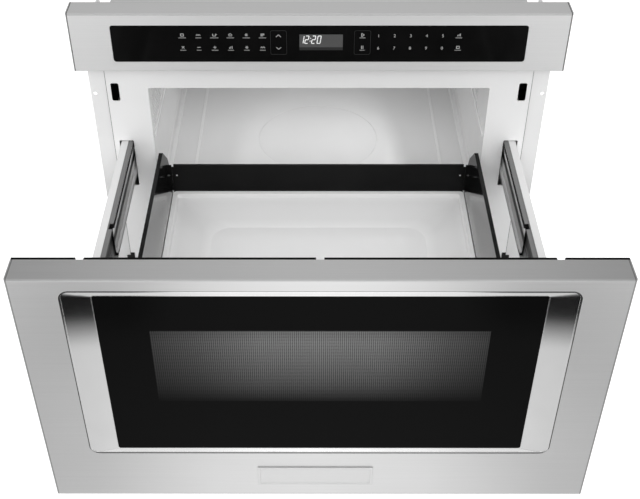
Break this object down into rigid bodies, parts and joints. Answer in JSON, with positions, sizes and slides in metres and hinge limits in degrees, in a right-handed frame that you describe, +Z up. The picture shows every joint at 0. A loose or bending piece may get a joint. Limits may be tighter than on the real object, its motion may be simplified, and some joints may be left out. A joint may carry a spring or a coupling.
{
  "type": "microwave drawer oven",
  "caption": "Built-in microwave oven that opens as a drawer, with a windowed stainless front, a control panel above it, a dished tray and ball slides.",
  "frame": {"origin": "middle of the cabinet's underside, at the centre of its width and depth", "axes": "+Z up, -Y towards the front where the drawer opens, +X to the right as seen from the front"},
  "size_m": [0.6064, 1.0119, 0.4148],
  "materials": {
    "stainless": "horizontally brushed stainless steel",
    "polished_steel": "polished stainless steel",
    "white_enamel": "glossy white baked enamel on steel",
    "white_paint": "satin white paint on steel",
    "zinc_steel": "dull zinc-coated sheet steel",
    "slide_steel": "cold-rolled zinc-plated steel",
    "aluminium": "plain aluminium",
    "black_glass": "black back-printed panel glass",
    "smoked_glass": "dark tinted window glass",
    "clear_glass": "clear glass pane",
    "tray_ceramic": "white glass-ceramic",
    "cover_ceramic": "pale ceramic sheet",
    "black_plastic": "matte black moulding",
    "black_enamel": "glossy black enamel on steel",
    "white_plastic": "white moulding",
    "rubber": "black rubber",
    "board": "green circuit board",
    "motor_metal": "dark grey motor housing",
    "core_steel": "varnished laminated steel",
    "badge_metal": "satin plate"
  },
  "bodies": {
    "cabinet": {"base_pan": "zinc_steel", "outer_case": "zinc_steel", "rear_panel": "zinc_steel", "front_frame": "white_paint", "side_flange_left": "white_paint", "side_flange_right": "white_paint", "oven_cavity": "white_enamel", "cavity_lamp": "clear_glass", "stirrer_cover": "cover_ceramic", "waveguide": "zinc_steel", "stirrer_motor": "motor_metal", "magnetron": "aluminium", "transformer": "core_steel", "capacitor": "aluminium", "fan_housing": "black_plastic", "fan_motor": "motor_metal", "control_panel": "stainless", "control_glass": "black_glass", "control_carrier": "black_plastic", "display_module": "black_plastic", "control_board": "board", "power_inlet": "rubber", "slide_inner_left": "slide_steel", "slide_inner_right": "slide_steel", "slide_bracket_left": "zinc_steel", "slide_bracket_right": "zinc_steel", "drive_motor": "motor_metal", "interlock_switches": "black_plastic", "front_bumpers": "rubber", "case_screws": "zinc_steel"},
    "drawer": {"door_skin": "stainless", "window_bezel": "polished_steel", "window_glass": "smoked_glass", "mesh_screen": "black_enamel", "inner_glass": "clear_glass", "door_frame": "zinc_steel", "choke_cover": "black_plastic", "badge_plate": "badge_metal", "tub_side_left": "black_enamel", "tub_side_right": "black_enamel", "tub_back": "black_enamel", "tub_floor": "black_enamel", "glass_tray": "tray_ceramic", "arm_left": "white_paint", "arm_right": "white_paint", "slide_outer_left": "slide_steel", "slide_outer_right": "slide_steel", "drive_rack": "white_plastic", "door_screws": "zinc_steel"},
    "slide_member_left": {"slide_middle_left": "slide_steel", "slide_bumper_left": "rubber"},
    "slide_member_right": {"slide_middle_right": "slide_steel", "slide_bumper_right": "rubber"},
    "outer_cages": {"ball_cages_outer": "slide_steel"},
    "inner_cages": {"ball_cages_inner": "slide_steel"},
    "pinion": {"drive_pinion": "white_plastic"},
    "antenna": {"stirrer_antenna": "aluminium"},
    "impeller": {"fan_impeller": "black_plastic"},
    "latch_hook_left": {"latch_left": "white_plastic"},
    "latch_hook_right": {"latch_right": "white_plastic"}
  },
  "joints": [
    {"name": "drawer_slide", "type": "slide", "parent": "cabinet", "child": "drawer", "axis": [0, -1, 0], "range_m": [-0.381, 0]},
    {"name": "member_slide_left", "type": "slide", "parent": "cabinet", "child": "slide_member_left", "axis": [0, -1, 0], "range_m": [-0.1905, 0]},
    {"name": "member_slide_right", "type": "slide", "parent": "cabinet", "child": "slide_member_right", "axis": [0, -1, 0], "range_m": [-0.1905, 0]},
    {"name": "outer_cage_slide", "type": "slide", "parent": "cabinet", "child": "outer_cages", "axis": [0, -1, 0], "range_m": [-0.28575, 0]},
    {"name": "inner_cage_slide", "type": "slide", "parent": "cabinet", "child": "inner_cages", "axis": [0, -1, 0], "range_m": [-0.09525, 0]},
    {"name": "pinion_spin", "type": "hinge", "parent": "cabinet", "child": "pinion", "pos_m": [0.259, -0.267, 0.13287], "axis": [1, 0, 0], "range_deg": [-1820, 1]},
    {"name": "antenna_spin", "type": "hinge", "parent": "cabinet", "child": "antenna", "pos_m": [0, -0.1385, 0.1], "axis": [0, 0, 1], "continuous": true},
    {"name": "fan_spin", "type": "hinge", "parent": "cabinet", "child": "impeller", "pos_m": [0.15, 0.275, 0.215], "axis": [0, 1, 0], "continuous": true},
    {"name": "latch_pivot_left", "type": "hinge", "parent": "drawer", "child": "latch_hook_left", "pos_m": [-0.2624, -0.6925, 0.2875], "axis": [1, 0, 0], "range_deg": [-5.7, 0], "stiffness_Nm_per_rad": 0.6, "springref_deg": 2.86},
    {"name": "latch_pivot_right", "type": "hinge", "parent": "drawer", "child": "latch_hook_right", "pos_m": [0.2624, -0.6925, 0.2875], "axis": [1, 0, 0], "range_deg": [-5.7, 0], "stiffness_Nm_per_rad": 0.6, "springref_deg": 2.86}
  ],
  "couplings": [
    {"joint": "member_slide_left", "follows": "drawer_slide", "ratio": 0.5},
    {"joint": "member_slide_right", "follows": "drawer_slide", "ratio": 0.5},
    {"joint": "outer_cage_slide", "follows": "drawer_slide", "ratio": 0.75},
    {"joint": "inner_cage_slide", "follows": "drawer_slide", "ratio": 0.25},
    {"joint": "pinion_spin", "follows": "drawer_slide", "rad_per_m": 83.333}
  ]
}
